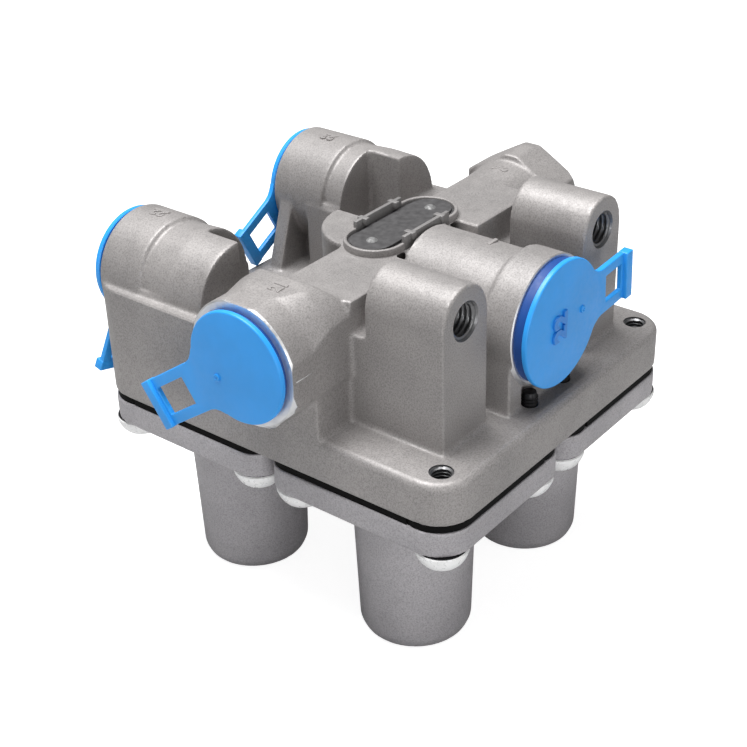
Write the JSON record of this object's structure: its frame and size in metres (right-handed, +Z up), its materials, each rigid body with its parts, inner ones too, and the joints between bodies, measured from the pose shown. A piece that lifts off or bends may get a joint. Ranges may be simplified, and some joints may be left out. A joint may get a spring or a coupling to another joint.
{
  "type": "four-circuit protection valve",
  "caption": "Cast air-brake protection valve with threaded ports, push-in port caps and spring housings bolted below; shares compressed air between separate circuits.",
  "frame": {"origin": "midway between the two bracket bolt holes, on the machined faces of their bosses", "axes": "+Z up, -Y out of the bracket bolt holes, +X towards the open threaded port"},
  "size_m": [0.1352, 0.1308, 0.1148],
  "materials": {
    "cast_body": "bead-blasted casting",
    "cast_housing": "bead-blasted casting, darker",
    "plate_dark": "matte",
    "pin_metal": "satin",
    "rubber_black": "matte",
    "zinc_screws": "bright zinc",
    "turned_metal": "turned",
    "plated_steel": "zinc plated",
    "spring_steel": "satin",
    "dark_steel": "satin",
    "nylon": "matte",
    "cap_blue": "semi-matte"
  },
  "bodies": {
    "casting": {"valve_body": "cast_body", "name_plate": "plate_dark", "name_plate_pins": "pin_metal", "diaphragm_rim_front_left": "rubber_black", "diaphragm_rim_front_right": "rubber_black", "diaphragm_rim_back_left": "rubber_black", "diaphragm_rim_back_right": "rubber_black", "diaphragm_web_front_left": "rubber_black", "diaphragm_web_front_right": "rubber_black", "diaphragm_web_back_left": "rubber_black", "diaphragm_web_back_right": "rubber_black", "spring_housing_front_left": "cast_housing", "spring_housing_front_right": "cast_housing", "spring_housing_back_left": "cast_housing", "spring_housing_back_right": "cast_housing", "housing_screws_front_left": "zinc_screws", "housing_screws_front_right": "zinc_screws", "housing_screws_back_left": "zinc_screws", "housing_screws_back_right": "zinc_screws", "main_spring_front_left": "spring_steel", "main_spring_front_right": "spring_steel", "main_spring_back_left": "spring_steel", "main_spring_back_right": "spring_steel", "check_spring_left": "spring_steel", "check_spring_right": "spring_steel", "check_keeper_left": "turned_metal", "check_keeper_right": "turned_metal"},
    "piston_front_left": {"valve_seal_front_left": "rubber_black", "valve_piston_front_left": "turned_metal", "spring_dish_front_left": "plated_steel"},
    "adjuster_front_left": {"adjusting_plate_front_left": "plated_steel"},
    "adjusting_screw_front_left": {"adjusting_screw_front_left": "dark_steel"},
    "piston_front_right": {"valve_seal_front_right": "rubber_black", "valve_piston_front_right": "turned_metal", "spring_dish_front_right": "plated_steel"},
    "adjuster_front_right": {"adjusting_plate_front_right": "plated_steel"},
    "adjusting_screw_front_right": {"adjusting_screw_front_right": "dark_steel"},
    "piston_back_left": {"valve_seal_back_left": "rubber_black", "valve_piston_back_left": "turned_metal", "spring_dish_back_left": "plated_steel"},
    "adjuster_back_left": {"adjusting_plate_back_left": "plated_steel"},
    "adjusting_screw_back_left": {"adjusting_screw_back_left": "dark_steel"},
    "piston_back_right": {"valve_seal_back_right": "rubber_black", "valve_piston_back_right": "turned_metal", "spring_dish_back_right": "plated_steel"},
    "adjuster_back_right": {"adjusting_plate_back_right": "plated_steel"},
    "adjusting_screw_back_right": {"adjusting_screw_back_right": "dark_steel"},
    "check_left": {"check_valve_left": "nylon"},
    "check_right": {"check_valve_right": "nylon"},
    "cap_left": {"cap_left": "cap_blue"},
    "cap_front": {"cap_front": "cap_blue"},
    "cap_back_left": {"cap_back_left": "cap_blue"},
    "cap_back_right": {"cap_back_right": "cap_blue"}
  },
  "joints": [
    {"name": "valve_lift_front_left", "type": "slide", "parent": "casting", "child": "piston_front_left", "axis": [0, 0, -1], "range_m": [0, 0.0025], "stiffness_N_per_m": 44000, "springref_m": -0.016, "deforming": ["main_spring_front_left", "diaphragm_web_front_left"]},
    {"name": "plate_lift_front_left", "type": "slide", "parent": "casting", "child": "adjuster_front_left", "axis": [0, 0, 1], "range_m": [-0.001, 0.001], "deforming": ["main_spring_front_left"]},
    {"name": "screw_turn_front_left", "type": "hinge", "parent": "adjuster_front_left", "child": "adjusting_screw_front_left", "pos_m": [-0.028, 0.0203, -0.101], "axis": [0, 0, 1], "range_deg": [-360, 360]},
    {"name": "valve_lift_front_right", "type": "slide", "parent": "casting", "child": "piston_front_right", "axis": [0, 0, -1], "range_m": [0, 0.0025], "stiffness_N_per_m": 44000, "springref_m": -0.016, "deforming": ["main_spring_front_right", "diaphragm_web_front_right"]},
    {"name": "plate_lift_front_right", "type": "slide", "parent": "casting", "child": "adjuster_front_right", "axis": [0, 0, 1], "range_m": [-0.001, 0.001], "deforming": ["main_spring_front_right"]},
    {"name": "screw_turn_front_right", "type": "hinge", "parent": "adjuster_front_right", "child": "adjusting_screw_front_right", "pos_m": [0.028, 0.0203, -0.101], "axis": [0, 0, 1], "range_deg": [-360, 360]},
    {"name": "valve_lift_back_left", "type": "slide", "parent": "casting", "child": "piston_back_left", "axis": [0, 0, -1], "range_m": [0, 0.0025], "stiffness_N_per_m": 44000, "springref_m": -0.016, "deforming": ["main_spring_back_left", "diaphragm_web_back_left"]},
    {"name": "plate_lift_back_left", "type": "slide", "parent": "casting", "child": "adjuster_back_left", "axis": [0, 0, 1], "range_m": [-0.001, 0.001], "deforming": ["main_spring_back_left"]},
    {"name": "screw_turn_back_left", "type": "hinge", "parent": "adjuster_back_left", "child": "adjusting_screw_back_left", "pos_m": [-0.028, 0.0823, -0.101], "axis": [0, 0, 1], "range_deg": [-360, 360]},
    {"name": "valve_lift_back_right", "type": "slide", "parent": "casting", "child": "piston_back_right", "axis": [0, 0, -1], "range_m": [0, 0.0025], "stiffness_N_per_m": 44000, "springref_m": -0.016, "deforming": ["main_spring_back_right", "diaphragm_web_back_right"]},
    {"name": "plate_lift_back_right", "type": "slide", "parent": "casting", "child": "adjuster_back_right", "axis": [0, 0, 1], "range_m": [-0.001, 0.001], "deforming": ["main_spring_back_right"]},
    {"name": "screw_turn_back_right", "type": "hinge", "parent": "adjuster_back_right", "child": "adjusting_screw_back_right", "pos_m": [0.028, 0.0823, -0.101], "axis": [0, 0, 1], "range_deg": [-360, 360]},
    {"name": "check_lift_left", "type": "slide", "parent": "casting", "child": "check_left", "axis": [0, 0, -1], "range_m": [0, 0.0015], "stiffness_N_per_m": 500, "springref_m": -0.004, "deforming": ["check_spring_left"]},
    {"name": "check_lift_right", "type": "slide", "parent": "casting", "child": "check_right", "axis": [0, 0, -1], "range_m": [0, 0.0015], "stiffness_N_per_m": 500, "springref_m": -0.004, "deforming": ["check_spring_right"]},
    {"name": "cap_left_pull", "type": "slide", "parent": "casting", "child": "cap_left", "axis": [-1, 0, 0], "range_m": [0, 0.02]},
    {"name": "cap_front_pull", "type": "slide", "parent": "casting", "child": "cap_front", "axis": [0, -1, 0], "range_m": [0, 0.02]},
    {"name": "cap_back_left_pull", "type": "slide", "parent": "casting", "child": "cap_back_left", "axis": [0, 1, 0], "range_m": [0, 0.02]},
    {"name": "cap_back_right_pull", "type": "slide", "parent": "casting", "child": "cap_back_right", "axis": [0, 1, 0], "range_m": [0, 0.02]}
  ],
  "couplings": [
    {"joint": "screw_turn_front_left", "follows": "plate_lift_front_left", "rad_per_m": 6283.2},
    {"joint": "screw_turn_front_right", "follows": "plate_lift_front_right", "rad_per_m": 6283.2},
    {"joint": "screw_turn_back_left", "follows": "plate_lift_back_left", "rad_per_m": 6283.2},
    {"joint": "screw_turn_back_right", "follows": "plate_lift_back_right", "rad_per_m": 6283.2}
  ]
}
